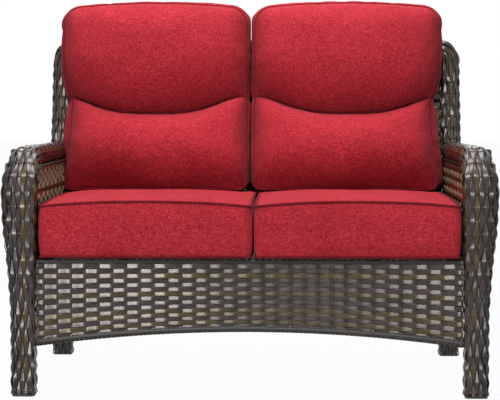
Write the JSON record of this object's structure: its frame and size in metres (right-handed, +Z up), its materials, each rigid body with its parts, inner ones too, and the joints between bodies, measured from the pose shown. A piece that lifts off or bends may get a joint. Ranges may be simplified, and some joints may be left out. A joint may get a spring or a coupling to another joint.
{
  "type": "patio loveseat",
  "caption": "Woven resin patio loveseat with rolled arms, a leaning back and loose seat and back cushions.",
  "frame": {"origin": "on the floor, under the middle of the outline", "axes": "+X to the right seen from the front, +Y to the rear, +Z up; the seat faces -Y"},
  "size_m": [1.25, 0.78, 1.0241],
  "materials": {
    "wicker": "woven resin strips",
    "steel_tube": "powder coat",
    "former": "moulded",
    "cushion_fabric": "heathered weave",
    "foam": "open cell",
    "glide": "moulded",
    "fastener": "zinc plated",
    "zipper": "moulded coil",
    "zipper_pull": "satin"
  },
  "bodies": {
    "frame": {"arm_tube_left": "steel_tube", "arm_tube_right": "steel_tube", "arm_weave_left": "wicker", "arm_weave_right": "wicker", "back_hoop_tube": "steel_tube", "rear_leg_weave_left": "wicker", "rear_leg_weave_right": "wicker", "back_border_weave": "wicker", "arm_formers_left": "former", "arm_formers_right": "former", "back_formers": "former", "seat_front_rail": "steel_tube", "seat_rear_rail": "steel_tube", "seat_side_rail_left": "steel_tube", "seat_side_rail_right": "steel_tube", "seat_cross_bars": "steel_tube", "side_stretcher_left": "steel_tube", "side_stretcher_right": "steel_tube", "back_lower_rail": "steel_tube", "side_weave_outer_left": "wicker", "side_weave_outer_right": "wicker", "side_weave_inner_left": "wicker", "side_weave_inner_right": "wicker", "front_apron_weave": "wicker", "rear_apron_weave": "wicker", "seat_deck_weave": "wicker", "back_panel_weave": "wicker", "front_hem_rod": "steel_tube", "rear_hem_rod": "steel_tube", "side_hem_rod_left": "steel_tube", "side_hem_rod_right": "steel_tube", "front_foot_glides": "glide", "rear_foot_glides": "glide", "frame_bolts": "fastener", "frame_washers": "fastener", "frame_nuts": "fastener"},
    "seat_cushion_left": {"seat_cushion_cover_left": "cushion_fabric", "seat_cushion_foam_left": "foam", "seat_zip_chain_left": "zipper"},
    "seat_zip_slider_left": {"seat_zip_slider_left": "zipper_pull"},
    "back_cushion_left": {"back_cushion_cover_left": "cushion_fabric", "back_lumbar_fill_left": "foam", "back_head_fill_left": "foam", "back_zip_chain_left": "zipper"},
    "back_zip_slider_left": {"back_zip_slider_left": "zipper_pull"},
    "seat_cushion_right": {"seat_cushion_cover_right": "cushion_fabric", "seat_cushion_foam_right": "foam", "seat_zip_chain_right": "zipper"},
    "seat_zip_slider_right": {"seat_zip_slider_right": "zipper_pull"},
    "back_cushion_right": {"back_cushion_cover_right": "cushion_fabric", "back_lumbar_fill_right": "foam", "back_head_fill_right": "foam", "back_zip_chain_right": "zipper"},
    "back_zip_slider_right": {"back_zip_slider_right": "zipper_pull"}
  },
  "joints": [
    {"name": "seat_cushion_slide_left", "type": "slide", "parent": "frame", "child": "seat_cushion_left", "axis": [0, -1, 0], "range_m": [0, 0.6]},
    {"name": "back_cushion_lift_left", "type": "slide", "parent": "frame", "child": "back_cushion_left", "axis": [0, 0.2334, 0.9724], "range_m": [0, 0.5]},
    {"name": "seat_zip_travel_left", "type": "slide", "parent": "seat_cushion_left", "child": "seat_zip_slider_left", "axis": [1, 0, 0], "range_m": [0, 0.38]},
    {"name": "back_zip_travel_left", "type": "slide", "parent": "back_cushion_left", "child": "back_zip_slider_left", "axis": [1, 0, 0], "range_m": [0, 0.38]},
    {"name": "seat_cushion_slide_right", "type": "slide", "parent": "frame", "child": "seat_cushion_right", "axis": [0, -1, 0], "range_m": [0, 0.6]},
    {"name": "back_cushion_lift_right", "type": "slide", "parent": "frame", "child": "back_cushion_right", "axis": [0, 0.2334, 0.9724], "range_m": [0, 0.5]},
    {"name": "seat_zip_travel_right", "type": "slide", "parent": "seat_cushion_right", "child": "seat_zip_slider_right", "axis": [-1, 0, 0], "range_m": [0, 0.38]},
    {"name": "back_zip_travel_right", "type": "slide", "parent": "back_cushion_right", "child": "back_zip_slider_right", "axis": [-1, 0, 0], "range_m": [0, 0.38]}
  ]
}
